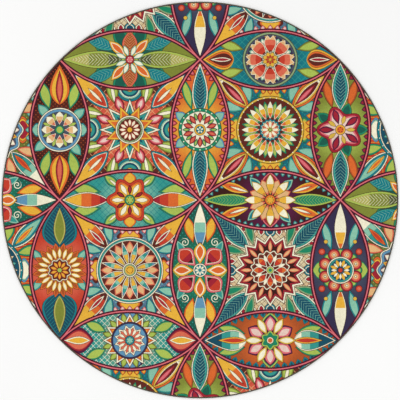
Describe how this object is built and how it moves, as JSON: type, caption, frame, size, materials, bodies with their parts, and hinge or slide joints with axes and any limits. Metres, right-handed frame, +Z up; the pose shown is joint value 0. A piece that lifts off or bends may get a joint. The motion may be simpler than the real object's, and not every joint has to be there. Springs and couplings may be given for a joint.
{
  "type": "round printed rug",
  "caption": "Flat round low-pile rug with a stitched rim and an all-over print of overlapping circles filled with flower rosettes.",
  "frame": {"origin": "centre of the underside, on the floor that the rug lies on", "axes": "+Z up, out of the pile; X and Y in the floor plane along the print's rows of circles"},
  "size_m": [1.2, 1.2, 0.006],
  "materials": {
    "rug_cloth": "matt clipped polyester pile, dye-printed in many colours"
  },
  "bodies": {
    "root": {"rug": "rug_cloth"}
  },
  "joints": []
}
